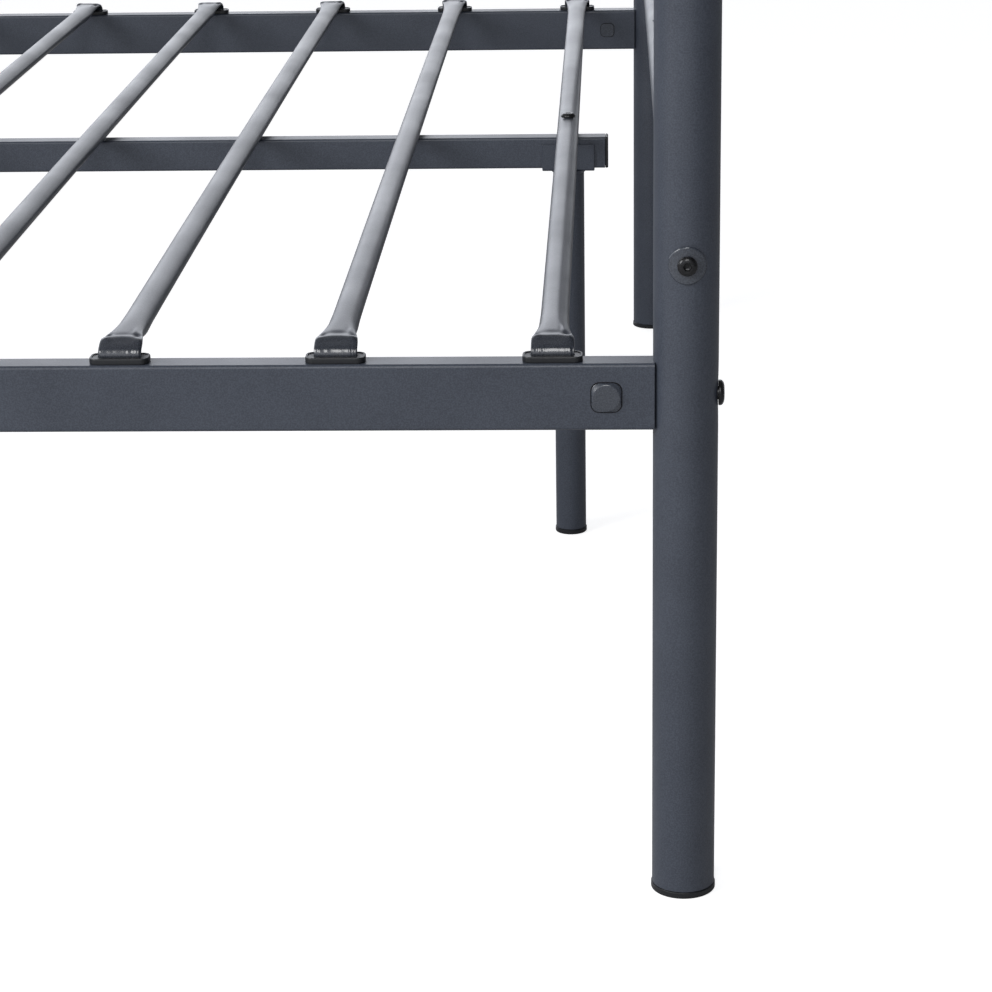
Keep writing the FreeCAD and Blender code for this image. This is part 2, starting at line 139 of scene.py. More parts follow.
def math_of(tree: Tree, operation: str, first: Socket, second: Socket | float) -> Socket:
    """Adds a math node.

    Args:
        tree: The tree that gets the node.
        operation: The node's operation.
        first: The first value.
        second: The second value, as a socket or a number.

    Returns:
        The result's socket.
    """
    node = tree.nodes.new("ShaderNodeMath")
    node.operation = operation
    tree.links.new(first, node.inputs[0])
    if isinstance(second, float):
        node.inputs[1].default_value = second
    else:
        tree.links.new(second, node.inputs[1])
    return node.outputs[0]


def make_speckle_group() -> bpy.types.ShaderNodeTree:
    """Makes the fine light and dark grain of a baked powder coat.

    Returns:
        A group that gives a speckled colour and the grain as a value.
    """
    tree = new_group(
        "coat_speckle",
        (
            ("Dark", "NodeSocketColor", (0.05, 0.05, 0.05, 1)),
            ("Light", "NodeSocketColor", (0.1, 0.1, 0.1, 1)),
            ("Amount", "NodeSocketFloat", 0.5),
        ),
        (("Colour", "NodeSocketColor"), ("Grain", "NodeSocketFloat")),
    )
    source, out = tree.nodes["in"], tree.nodes["out"]
    fine = remap(tree, noise(tree, GRAIN_PER_METRE, 1.0), 0.36, 0.66)
    broad = remap(tree, noise(tree, CLOUDS_PER_METRE, 3.0), 0.3, 0.7)
    both = tree.nodes.new("ShaderNodeMix")
    both.inputs[0].default_value = CLOUD_SHARE
    tree.links.new(fine, both.inputs[2])
    tree.links.new(broad, both.inputs[3])
    colour = tree.nodes.new("ShaderNodeMix")
    colour.data_type = "RGBA"
    tree.links.new(math_of(tree, "MULTIPLY", both.outputs[0], source.outputs["Amount"]), colour.inputs[0])
    tree.links.new(source.outputs["Dark"], colour.inputs[6])
    tree.links.new(source.outputs["Light"], colour.inputs[7])
    tree.links.new(colour.outputs[2], out.inputs["Colour"])
    tree.links.new(both.outputs[0], out.inputs["Grain"])
    return tree


def make_peel_group() -> bpy.types.ShaderNodeTree:
    """Makes the orange-peel waviness and fine bumps of a sprayed or moulded skin.

    Returns:
        A group that gives a height to feed a Bump node.
    """
    tree = new_group(
        "orange_peel",
        (("Wave", "NodeSocketFloat", 1.0), ("Grit", "NodeSocketFloat", 0.3)),
        (("Height", "NodeSocketFloat"),),
    )
    source, out = tree.nodes["in"], tree.nodes["out"]
    wave = math_of(tree, "MULTIPLY", noise(tree, WAVES_PER_METRE, 1.5), source.outputs["Wave"])
    grit = math_of(tree, "MULTIPLY", noise(tree, GRIT_PER_METRE, 1.0), source.outputs["Grit"])
    tree.links.new(math_of(tree, "ADD", wave, grit), out.inputs["Height"])
    return tree


def make_rub_group() -> bpy.types.ShaderNodeTree:
    """Makes faint rub marks and handling haze, as a value that changes a coat's roughness.

    Returns:
        A group that gives a roughness round a middle value.
    """
    tree = new_group(
        "rub_marks",
        (("Roughness", "NodeSocketFloat", 0.45), ("Spread", "NodeSocketFloat", 0.1)),
        (("Roughness", "NodeSocketFloat"),),
    )
    source, out = tree.nodes["in"], tree.nodes["out"]
    haze = remap(tree, noise(tree, RUBS_PER_METRE, 4.0), 0.3, 0.7)
    change = math_of(tree, "MULTIPLY", haze, source.outputs["Spread"])
    tree.links.new(math_of(tree, "ADD", source.outputs["Roughness"], change), out.inputs["Roughness"])
    return tree


# --- finishes ---


@dataclass(frozen=True)
class Finish:
    """A surface finish made of the shared speckle, peel and rub groups over one Principled BSDF.

    Args:
        name: The material's name.
        dark: The colour in the hollows of the grain.
        light: The colour on the grain.
        speckle: How much of the light colour shows.
        roughness: The smoothest roughness.
        spread: How much rougher the haze makes it.
        peel: Depth of the orange peel, in millimetres.
        grit: Share of fine grit in the peel.
        metallic: Metallic value.
        specular: Specular level.
    """

    name: str
    dark: tuple[float, float, float]
    light: tuple[float, float, float]
    speckle: float = 0.6
    roughness: float = 0.45
    spread: float = 0.08
    peel: float = 0.03
    grit: float = 0.3
    metallic: float = 0.0
    specular: float = 0.5

    def material(self) -> bpy.types.Material:
        """Builds the material, or returns it if it was built before."""
        made = bpy.data.materials.get(self.name)
        if made is not None:
            return made
        made = bpy.data.materials.new(self.name)
        made.use_nodes = True
        tree = made.node_tree
        shader = tree.nodes["Principled BSDF"]
        shader.inputs["Metallic"].default_value = self.metallic
        shader.inputs["Specular IOR Level"].default_value = self.specular
        speckle = self._group(tree, "coat_speckle")
        speckle.inputs["Dark"].default_value = (*self.dark, 1.0)
        speckle.inputs["Light"].default_value = (*self.light, 1.0)
        speckle.inputs["Amount"].default_value = self.speckle
        tree.links.new(speckle.outputs["Colour"], shader.inputs["Base Color"])
        rub = self._group(tree, "rub_marks")
        rub.inputs["Roughness"].default_value = self.roughness
        rub.inputs["Spread"].default_value = self.spread
        tree.links.new(rub.outputs["Roughness"], shader.inputs["Roughness"])
        peel = self._group(tree, "orange_peel")
        peel.inputs["Grit"].default_value = self.grit
        bump = tree.nodes.new("ShaderNodeBump")
        bump.inputs["Strength"].default_value = 1.0
        bump.inputs["Distance"].default_value = self.peel * MM
        tree.links.new(peel.outputs["Height"], bump.inputs["Height"])
        tree.links.new(bump.outputs["Normal"], shader.inputs["Normal"])
        return made

    def _group(self, tree: Tree, name: str) -> bpy.types.Node:
        """Places one of the shared groups in the material."""
        node = tree.nodes.new("ShaderNodeGroup")
        node.node_tree = bpy.data.node_groups[name]
        return node


FRAME_COAT = Finish(
    "slate_powder_coat", (0.037, 0.043, 0.058), (0.090, 0.104, 0.133), speckle=0.48, roughness=0.34
)
SLAT_COAT = Finish("slate_slat_coat", (0.030, 0.034, 0.045), (0.090, 0.098, 0.120), roughness=0.30, peel=0.015)
# The slats' pressed ends: glossier paint, with a darker colour that is painted shade over the tongue, the bend and
# the sloping pressed end.
SHADED_PRESSED_COAT = Finish(
    "pressed_slat_coat_painted_shade", (0.018, 0.021, 0.028), (0.050, 0.056, 0.071), roughness=0.16, specular=1.0
)
NUT_COAT = Finish(
    "slate_nut_coat", (0.024, 0.029, 0.040), (0.075, 0.086, 0.108), roughness=0.17, peel=0.02, specular=0.9
)
PLASTIC = Finish(
    "black_moulded_plastic", (0.006, 0.007, 0.009), (0.016, 0.017, 0.020), roughness=0.34, spread=0.12, peel=0.02
)
BLACK_ZINC = Finish(
    "black_zinc_plate", (0.012, 0.012, 0.013), (0.030, 0.030, 0.032), roughness=0.20, peel=0.01, metallic=0.4
)
# Near-black paint for a thin ring round the foot of each cross nut's cap: a painted shadow line where the cap meets
# the rail.
SHADOW_RING_PAINT = Finish("painted_shadow_ring", (0.004, 0.004, 0.005), (0.010, 0.010, 0.011), roughness=0.6, specular=0.2)
PLAIN_STEEL = Finish(
    "zinc_plated_steel", (0.35, 0.35, 0.36), (0.60, 0.60, 0.61), roughness=0.3, peel=0.01, metallic=1.0
)
FINISH_OF_SLOT = {
    Slot.FRAME: FRAME_COAT,
    Slot.SLAT: SLAT_COAT,
    Slot.PLASTIC: PLASTIC,
    Slot.BOLT: BLACK_ZINC,
    Slot.STEEL: PLAIN_STEEL,
}


# --- outlines and meshes ---


def circle(radius: float, count: int = 96) -> np.ndarray:
    """Points round a circle in its own plane."""
    turn = np.arange(count) * (2 * math.pi / count)
    return np.stack([radius * np.cos(turn), radius * np.sin(turn)], 1)


def polygon(across_flats: float, sides: int, count: int = 96) -> np.ndarray:
    """Points round a regular polygon, one for each equal turn, so that it joins up with a circle."""
    turn = np.arange(count) * (2 * math.pi / count)
    part = 2 * math.pi / sides
    reach = across_flats / 2 / np.cos((turn % part) - part / 2)
    return np.stack([reach * np.cos(turn), reach * np.sin(turn)], 1)


def arc(centre: tuple[float, float], radius: float, start: float, steps: int, turn: int = 1) -> list[tuple]:
    """Points along a quarter of a circle."""
    turns = [QUARTER * (start + turn * step / steps) for step in range(steps + 1)]
    return [(centre[0] + radius * math.cos(angle), centre[1] + radius * math.sin(angle)) for angle in turns]


def rounded_rectangle(width: float, height: float, radius: float, steps: int = 8) -> np.ndarray:
    """Points round a rectangle with rounded corners; a square whose radius is half its side is a circle."""
    points = []
    for corner, (sx, sy) in enumerate(((1, 1), (-1, 1), (-1, -1), (1, -1))):
        points += arc((sx * (width / 2 - radius), sy * (height / 2 - radius)), radius, corner, steps)
    return np.array(points)


@dataclass
class Bench:
    """A local plane to stack outlines on: an origin, two axes across it and one up from it."""

    origin: Vector
    across: Vector
    along: Vector

    @property
    def up(self) -> Vector:
        """The direction in which outlines are stacked."""
        return self.across.cross(self.along)

    def ring(self, outline: np.ndarray, height: float) -> np.ndarray:
        """Places an outline at a height above the plane."""
        base = np.array(self.origin) + np.array(self.up) * height
        return base + outline[:, :1] * np.array(self.across) + outline[:, 1:] * np.array(self.along)

    def stack(self, layers: Iterable[tuple[np.ndarray, float]]) -> list[np.ndarray]:
        """Places several (outline, height) layers in order."""
        return [self.ring(outline, height) for outline, height in layers]


class MeshMaker:
    """Collects skins of rings into one closed mesh object with smooth faces and sharp creases."""

    def __init__(self, name: str, slot: Slot, finishes: Sequence[Finish] = ()) -> None:
        """Starts an empty mesh."""
        self.name = name
        self.slot = slot
        self.finishes = tuple(finishes) or (FINISH_OF_SLOT[slot],)
        self.mesh = bmesh.new()

    def skin(self, rings: Sequence[np.ndarray], finish: Callable[[int], int] | None = None) -> "MeshMaker":
        """Adds a closed skin through rings of equal length, with a face over each end.

        Args:
            rings: The rings in order; each is rows of x, y and z.
            finish: Gives the finish number of the band that starts at a ring, if not all are 0.

        Returns:
            This mesh maker, so that calls can be chained.
        """
        rows = [[self.mesh.verts.new(point) for point in ring] for ring in rings]
        count = len(rows[0])
        for band, (lower, upper) in enumerate(zip(rows, rows[1:])):
            for i in range(count):
                j = (i + 1) % count
                face = self.mesh.faces.new((lower[i], lower[j], upper[j], upper[i]))
                face.material_index = finish(band) if finish else 0
        self.mesh.faces.new(list(reversed(rows[0])))
        self.mesh.faces.new(rows[-1])
        return self

    def loop_skin(self, rings: Sequence[np.ndarray]) -> "MeshMaker":
        """Adds a skin whose last ring joins its first, as a torus or a washer has."""
        rows = [[self.mesh.verts.new(point) for point in ring] for ring in rings]
        count = len(rows[0])
        for lower, upper in zip(rows, rows[1:] + rows[:1]):
            for i in range(count):
                j = (i + 1) % count
                self.mesh.faces.new((lower[i], lower[j], upper[j], upper[i]))
        return self

    def finish(self, replaces: Sequence[str], crease: float = 32.0) -> bpy.types.Object:
        """Turns the collected skins into an object that rides on the frame.

        Args:
            replaces: CAD nodes that this piece stands for.
            crease: Edges that bend more than this many degrees stay sharp.

        Returns:
            The finished object.
        """
        bmesh.ops.remove_doubles(self.mesh, verts=self.mesh.verts, dist=0.002 * MM)
        bmesh.ops.dissolve_degenerate(self.mesh, edges=self.mesh.edges, dist=0.001 * MM)
        bmesh.ops.recalc_face_normals(self.mesh, faces=self.mesh.faces)
        for face in self.mesh.faces:
            face.smooth = True
        for edge in self.mesh.edges:
            edge.smooth = edge.calc_face_angle(0.0) < math.radians(crease)
        data = bpy.data.meshes.new(self.name)
        self.mesh.to_mesh(data)
        self.mesh.free()
        for finish in self.finishes:
            data.materials.append(finish.material())
        piece = bpy.data.objects.new(self.name, data)
        bpy.context.scene.collection.objects.link(piece)
        normals = piece.modifiers.new("even_flats", "WEIGHTED_NORMAL")
        normals.keep_sharp = True
        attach(piece, BODY)
        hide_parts(*replaces)
        log.info("%s: %d faces, stands for %s", self.name, len(data.polygons), ", ".join(replaces))
        return piece


def middle(node: str) -> Vector:
    """The centre of a CAD node's box."""
    low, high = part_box(node)
    return (low + high) / 2


def extent(node: str) -> Vector:
    """The size of a CAD node's box."""
    low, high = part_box(node)
    return high - low


def smooth_step(value: float | np.ndarray) -> float | np.ndarray:
    """An S-shaped rise from 0 to 1 as the value goes from 0 to 1."""
    value = np.clip(value, 0.0, 1.0)
    return value * value * (3 - 2 * value)


X_AXIS = Vector((1, 0, 0))
Y_AXIS = Vector((0, 1, 0))
Z_AXIS = Vector((0, 0, 1))


# --- posts ---


@dataclass
class Post:
    """One corner post with the plastic caps under and over it."""

    end: End
    side: Side
    edge: float = 0.4 * MM
    dent_depth: float = 0.35 * MM
    dent_reach: float = 11 * MM
    row_step: float = 2 * MM
    segments: int = 144
    cap_flange: float = 3 * MM
    cap_wall: float = 3 * MM
    cap_edge: float = 0.5 * MM
    dome_steps: int = 12

    @property
    def node(self) -> str:
        """The post's CAD node."""
        return f"{self.end.value}_post_{self.side.value}"

    @property
    def out_x(self) -> int:
        """+1 at the foot end and -1 at the head end."""
        return 1 if self.end is End.FOOT else -1

    @property
    def out_y(self) -> int:
        """+1 on the right side and -1 on the left side."""
        return 1 if self.side is Side.RIGHT else -1

    def dents(self) -> list[tuple[Vector, float]]:
        """Where bolt heads draw the tube's wall in: an outward direction and a height for each."""
        rail_z = middle("rail_bolts").z
        cross_z = middle(f"{self.end.value}_lower_cross_tube").z
        top_z = middle(f"{self.end.value}_top_rail").z
        return [(X_AXIS * self.out_x, rail_z), (Y_AXIS * self.out_y, cross_z), (Y_AXIS * self.out_y, top_z)]

    def rows(self, low: float, high: float) -> list[float]:
        """Heights of the post's rings, close together round each bolt."""
        heights = {low, low + self.edge, high - self.edge, high}
        for _, z in self.dents():
            steps = int(self.dent_reach * 2 / self.row_step)
            heights.update(round(z + (i - steps) * self.row_step, 6) for i in range(2 * steps + 1))
        return sorted(z for z in heights if low <= z <= high)

    def ring(self, z: float, radius: float) -> np.ndarray:
        """A round section of the tube, drawn in near the bolt heads.

        Args:
            z: The section's height.
            radius: The tube's radius there.

        Returns:
            Rows of x, y and z.
        """
        centre = middle(self.node)
        flat = circle(1.0, self.segments)
        reach = np.full(self.segments, radius)
        for direction, dent_z in self.dents():
            facing = flat @ np.array(direction.xy)
            arc = np.arccos(np.clip(facing, -1, 1)) * radius
            away = np.sqrt(arc**2 + (z - dent_z) ** 2)
            reach -= self.dent_depth * np.exp(-((away / self.dent_reach) ** 2))
        ring = np.column_stack([flat * reach[:, None], np.full(self.segments, z)])
        return ring + np.array([centre.x, centre.y, 0.0])

    def build_tube(self) -> None:
        """Builds the tube, closed at both ends, where its caps cover it."""
        low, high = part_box(self.node)
        radius = extent(self.node).x / 2
        rings = []
        for z in self.rows(low.z, high.z):
            at_end = z in (low.z, high.z)
            rings.append(self.ring(z, radius - (self.edge if at_end else 0.0)))
        MeshMaker(f"{self.node}_tube", Slot.FRAME).skin(rings).finish([self.node])

    def build_top_cap(self) -> None:
        """Builds the low domed cap on top of the post."""
        node = f"{self.node}_top_cap"
        low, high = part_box(node)
        centre, radius = middle(node), extent(node).x / 2
        post_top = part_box(self.node)[1].z
        flange, edge = self.cap_flange, self.cap_edge
        dome_rise = high.z - post_top - flange
        bench = Bench(Vector((centre.x, centre.y, post_top)), X_AXIS, Y_AXIS)
        bore = extent(self.node).x / 2 - self.cap_wall
        layers = [(circle(bore), low.z - post_top), (circle(bore), 0.0), (circle(radius - edge), 0.0)]
        layers += [(circle(radius), edge), (circle(radius), flange)]
        sphere = (radius**2 + dome_rise**2) / (2 * dome_rise)
        for step in range(1, self.dome_steps + 1):
            reach = radius * math.cos(QUARTER * step / (self.dome_steps + 0.5))
            rise = math.sqrt(sphere**2 - reach**2) - (sphere - dome_rise)
            layers.append((circle(reach), flange + rise))
        MeshMaker(f"{node}_shell", Slot.PLASTIC).skin(bench.stack(layers)).finish([node])

    def build(self) -> None:
        """Builds the post and its caps."""
        self.build_tube()
        build_foot_cap(f"{self.node}_foot_cap")
        self.build_top_cap()


def build_foot_cap(node: str) -> None:
    """Builds a lipped plastic cap with its plug, under a round tube.

    Args:
        node: The cap's CAD node.
    """
    low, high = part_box(node)
    centre, radius = middle(node), extent(node).x / 2
    lip = 4 * MM
    soft = 0.8 * MM
    plug = radius - 2.6 * MM
    bench = Bench(Vector((centre.x, centre.y, low.z)), X_AXIS, Y_AXIS)
    layers = [(circle(radius - 2.4 * soft), 0.0)]
    for step in range(7):
        turn = QUARTER * step / 6
        layers.append((circle(radius - soft * (1 - math.sin(turn))), soft * (1 - math.cos(turn))))
    layers += [(circle(radius), lip - 0.4 * MM), (circle(radius - 0.4 * MM), lip)]
    layers += [(circle(plug), lip), (circle(plug), high.z - low.z)]
    MeshMaker(f"{node}_shell", Slot.PLASTIC).skin(bench.stack(layers)).finish([node])


# --- side rails ---


@dataclass
class SideRail:
    """One long rectangular tube whose ends hug the posts."""

    side: Side
    corner: float = 2.2 * MM
    gap: float = 0.4 * MM
    square_end: float = 18.2 * MM
    spans: int = 24

    @property
    def node(self) -> str:
        """The rail's CAD node."""
        return f"side_rail_{self.side.value}"

    def build(self) -> None:
        """Builds the rail."""
        size, centre = extent(self.node), middle(self.node)
        outline = rounded_rectangle(size.y, size.z, self.corner, 6)
        post = f"foot_post_{self.side.value}"
        post_x, hug = middle(post).x, extent(post).x / 2 + self.gap
        end_x = post_x - np.maximum(np.sqrt(hug**2 - outline[:, 0] ** 2), self.square_end)
        rings = []
        for step in range(self.spans + 1):
            share = 2 * step / self.spans - 1
            x = end_x * share
            rings.append(np.column_stack([x, centre.y + outline[:, 0], centre.z + outline[:, 1]]))
        MeshMaker(f"{self.node}_tube", Slot.FRAME).skin(rings).finish([self.node])


# --- slats and sleeves ---


# Dents and ridges on a slat's pressed end: place and spread across it, as shares of its half width,
# then distance from the rail's middle, reach along the slat and height, in millimetres.
PINCHES = (
    (-0.78, 0.18, 16.0, 3.0, -1.40),
    (0.76, 0.20, 15.5, 3.2, -1.50),
    (0.0, 0.60, 17.0, 3.4, -0.70),
    (0.0, 0.66, 11.0, 1.8, 0.25),
    (-0.80, 0.26, 8.5, 2.6, 0.80),
    (0.80, 0.24, 8.0, 2.8, 0.85),
    (0.10, 0.45, 7.0, 2.6, -0.35),
    (0.62, 0.10, 24.0, 6.5, 0.40),
    (0.42, 0.12, 23.0, 5.5, -0.35),
)


@dataclass
class Slat:
    """One sprung slat: an elliptical tube whose ends are pressed flat and turned down."""

    number: int
    tube_width: float = 17 * MM
    tube_height: float = 13 * MM
    flat_width: float = 25.3 * MM
    flat_height: float = 3.2 * MM
    flare_reach: float = 17.5 * MM
    flare_power: float = 2.0
    pillow: float = 0.45 * MM
    bend: float = 4.6 * MM
    bend_rise: float = 3.4 * MM
    bend_tilt: float = math.radians(24)
    base_rise: float = 6.6 * MM
    mid_rise: float = 8.5 * MM
    full_from: float = 55 * MM
    pressed_to: float = 10.5 * MM
    wrinkle: float = 0.085 * MM
    around: int = 80
    bend_steps: int = 16
    # Rows past the bend that still take the darker coat of painted shade.
    painted_shade_rows: int = 6
    fine_rows: int = 28
    fine_step: float = 1 * MM
    coarse_rows: int = 16
    coarse_step: float = 3 * MM
    span_rows: int = 16

    @property
    def node(self) -> str:
        """The slat's CAD node."""
        return f"slat_{self.number:02d}"

    @property
    def bend_start(self) -> float:
        """Distance from the rail's middle at which the flat end starts to turn down."""
        return self.bend * (1 - math.sin(self.bend_tilt))

    def lean(self, distance: float) -> float:
        """Slope of the flat end, steep at the bend and level where the tube begins."""
        share = min(max((distance - self.bend_start) / (self.pressed_to - self.bend_start), 0.0), 1.0)
        return math.tan(self.bend_tilt) * (1 - share**4)

    def width(self, distance: float) -> float:
        """The slat's width at a distance from the rail's middle, flaring like a trumpet."""
        away = max(distance - self.bend, 0.0) / self.flare_reach
        flare = 1 / (1 + away**self.flare_power)
        fade = float(smooth_step((1.6 * self.full_from - distance) / (0.6 * self.full_from)))
        return self.tube_width + (self.flat_width - self.tube_width) * flare * fade

    def pressed(self, distance: float) -> float:
        """How far flattening has gone, from 0 on the round tube to 1 on the pressed end."""
        return float(smooth_step((self.full_from - distance) / (self.full_from - self.pressed_to)))

    def centre_line(self, distance: float, half_span: float) -> float:
        """Height of the slat's axis over the rail's top.

        Args:
            distance: Distance from the rail's middle.
            half_span: Distance from the rail's middle to the bed's middle.

        Returns:
            The height.
        """
        if distance < self.full_from:
            run = self.pressed_to - self.bend_start
            share = min((distance - self.bend_start) / run, 1.0)
            climb = math.tan(self.bend_tilt) * run * (share - share**5 / 5)
            flat_rise = self.bend_rise + self.bend * math.cos(self.bend_tilt) + climb
            return self.base_rise + (flat_rise - self.base_rise) * self.pressed(distance)
        share = (half_span - distance) / (half_span - self.full_from)
        return self.mid_rise - (self.mid_rise - self.base_rise) * share**2

    def section(self, distance: float, seed: float) -> np.ndarray:
        """The outline across the slat at a distance from the rail's middle.

        Args:
            distance: Distance from the rail's middle, inward.
            seed: Makes each pressed end a little different.

        Returns:
            Rows of x across the slat and z above its axis.
        """
        turn = np.arange(self.around) * (2 * math.pi / self.around)
        cos, sin = np.cos(turn), np.sin(turn)
        flat = self.pressed(distance)
        across = np.sign(cos) * np.abs(cos) ** (1.0 - 0.3 * flat)
        swell = self.pillow * float(smooth_step((distance - self.bend) / (self.pressed_to - self.bend)))
        half_flat = self.flat_height / 2
        over = half_flat + swell * (1 - across**2)
        pressed = np.where(sin > 0, over * np.abs(sin) ** 0.5, -half_flat * np.abs(sin) ** 0.6)
        z = (1 - flat) * self.tube_height / 2 * sin + flat * pressed
        top = np.sqrt(np.clip(sin, 0, 1))
        z += self._pinches(distance, across, seed) * top
        return np.column_stack([across * self.width(distance) / 2, z])

    def _pinches(self, distance: float, across: np.ndarray, seed: float) -> np.ndarray:
        """Height that the press adds to or takes from the slat's top.

        Args:
            distance: Distance from the rail's middle, inward.
            across: Places across the slat, from -1 to 1.
            seed: Makes each pressed end a little different.

        Returns:
            The change of height at each place.
        """
        change = np.zeros_like(across)
        for i, (place, spread, away, reach, height) in enumerate(PINCHES):
            drift = math.sin(seed * 5.3 + i * 2.1)
            along = (distance - (away + 1.2 * drift) * MM) / (reach * MM)
            aside = (across - place - 0.05 * math.cos(seed * 3.1 + i)) / spread
            change += height * (1 + 0.25 * drift) * MM * np.exp(-(aside**2) - along**2)
        return change

    def wrinkles(self, x: np.ndarray, seed: float, share: float) -> np.ndarray:
        """Fine stretch marks over the bend."""
        marks = np.sin(x / MM * 3.1 + seed * 7 + share) + 0.8 * np.sin(x / MM * 4.9 + seed * 11 - share * 1.5)
        marks += 0.7 * np.sin(x / MM * 1.7 + seed * 3 + share * 2)
        return self.wrinkle * marks * math.sin(math.pi * min(max(share, 0.5), 1.0))

    def half_rings(self, seed: float, half_span: float, tip: float) -> tuple[list[np.ndarray], int]:
        """Rings from the tongue's tip to the bed's middle, on the left side.

        Args:
            seed: Makes each pressed end a little different.
            half_span: Distance from the rail's middle to the bed's middle.
            tip: Height of the tongue's tip over the rail's top.

        Returns:
            The rings, as rows of x, distance inward and height over the rail's top, and how many of them take the
            darker coat of painted shade.
        """
        rings = []
        start = self.bend_start
        tongue = self.section(start, seed)
        for height in (tip, tip + 0.8 * MM, 0.0, self.bend_rise * 0.6):
            squeeze = 0.7 if height == tip else 1.0
            folds = self.wrinkles(tongue[:, 0], seed, 0.0) * (tongue[:, 1] > 0) * (height > 0)
            out = tongue[:, 1] * squeeze + folds
            rings.append(np.column_stack([tongue[:, 0], -out, np.full(self.around, height)]))
        for step in range(self.bend_steps + 1):
            share = step / self.bend_steps
            turn = QUARTER - (QUARTER - self.bend_tilt) * share
            outline = tongue.copy()
            outline[:, 1] += self.wrinkles(outline[:, 0], seed, share) * (outline[:, 1] > 0)
            reach = self.bend + outline[:, 1]
            inward = self.bend - reach * math.sin(turn)
            rings.append(np.column_stack([outline[:, 0], inward, self.bend_rise + reach * math.cos(turn)]))
        # The tongue, the bend and the rows just past it take the darker coat: painted shade.
        pressed = len(rings) + self.painted_shade_rows
        places = [start + self.fine_step * i for i in range(1, self.fine_rows + 1)]
        places += [places[-1] + self.coarse_step * i for i in range(1, self.coarse_rows + 1)]
        reach = half_span - places[-1]
        places += [places[-1] + reach * (i / self.span_rows) for i in range(1, self.span_rows + 1)]
        for distance in places:
            outline = self.section(distance, seed)
            height = self.centre_line(distance, half_span) + outline[:, 1]
            inward = distance - self.lean(distance) * outline[:, 1]
            rings.append(np.column_stack([outline[:, 0], inward, height]))
        return rings, pressed

    def build(self) -> None:
        """Builds the slat from two pressed halves that meet in the middle."""
        low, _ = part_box(self.node)
        rail_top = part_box("side_rail_left")[1].z
        half_span = abs(middle("side_rail_left").y)
        x = middle(self.node).x
        left_seed, right_seed = math.sin(self.number * 12.9) * 3, math.cos(self.number * 7.3) * 3
        left, pressed = self.half_rings(left_seed, half_span, low.z - rail_top)
        right, _ = self.half_rings(right_seed, half_span, low.z - rail_top)
        rings = [self._placed(ring, x, -1, half_span, rail_top) for ring in left]
        rings += [self._placed(ring, x, 1, half_span, rail_top) for ring in reversed(right[:-1])]
        total = len(rings)
        maker = MeshMaker(f"{self.node}_tube", Slot.SLAT, (SLAT_COAT, SHADED_PRESSED_COAT))
        # Bands near either end take the glossier coat darkened with painted shade.
        maker.skin(rings, lambda band: int(min(band, total - 2 - band) < pressed))
        maker.finish([self.node], crease=60.0)

    def _placed(self, ring: np.ndarray, x: float, out: int, half_span: float, rail_top: float) -> np.ndarray:
        """Moves a half's ring to its side of the bed."""
        return np.column_stack([ring[:, 0] + x, out * (half_span - ring[:, 1]), ring[:, 2] + rail_top])


@dataclass
class SleeveRow:
    """The plastic sleeves that hold the slat ends along one side rail."""

    side: Side
    slats: int = 15
    collar: tuple[float, float] = (35 * MM, 15 * MM)
    tier_rise: float = 3.6 * MM
    rim: float = 1.1 * MM
    recess: float = 0.5 * MM
    pocket: tuple[float, float] = (26 * MM, 4 * MM)
    soft: float = 0.45 * MM

    @property
    def node(self) -> str:
        """The sleeves' CAD node."""
        return f"slat_sleeves_{self.side.value}"

    def layers(self, depth: float) -> Layers:
        """Outlines of one sleeve, from the socket's bottom up, over the collar and into the pocket.

        Args:
            depth: How far the socket hangs below the rail's top.

        Returns:
            (outline, height) layers.
        """
        wide, deep = self.collar
        hole_wide, hole_deep = self.pocket
        soft, top, rim = self.soft, self.tier_rise, 2 * self.rim
        socket = rounded_rectangle(hole_wide + 2 * MM, hole_deep + 3 * MM, 2.9 * MM, 8)
        layers = [(socket, -depth), (socket, 0.0)]
        for inset, corner, height in (
            (soft * 2, 4.4 * MM, 0.0),
            (soft * 0.6, 4.8 * MM, soft * 0.4),
            (0.0, 5 * MM, soft * 1.4),
            (0.0, 5 * MM, top - soft * 1.6),
            (soft * 0.6, 4.8 * MM, top - soft * 0.6),
            (soft * 1.6, 4.4 * MM, top - soft * 0.1),
            (soft * 2, 4.2 * MM, top),
            (soft + rim, 3.8 * MM, top),
            (soft * 2 + rim, 3.6 * MM, top - self.recess),
        ):
            layers.append((rounded_rectangle(wide - inset, deep - inset, corner, 8), height))
        hole = rounded_rectangle(hole_wide, hole_deep, 1.9 * MM, 8)
        layers += [(hole, top - self.recess), (hole, -depth + 2 * MM)]
        return layers

    def build(self) -> None:
        """Builds the row as one piece."""
        low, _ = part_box(self.node)
        rail = f"side_rail_{self.side.value}"
        top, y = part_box(rail)[1].z, middle(rail).y
        maker = MeshMaker(f"{self.node}_row", Slot.PLASTIC)
        for number in range(1, self.slats + 1):
            bench = Bench(Vector((middle(f"slat_{number:02d}").x, y, top)), X_AXIS, Y_AXIS)
            maker.skin(bench.stack(self.layers(top - low.z)))
        maker.finish([self.node])


# --- centre beam ---


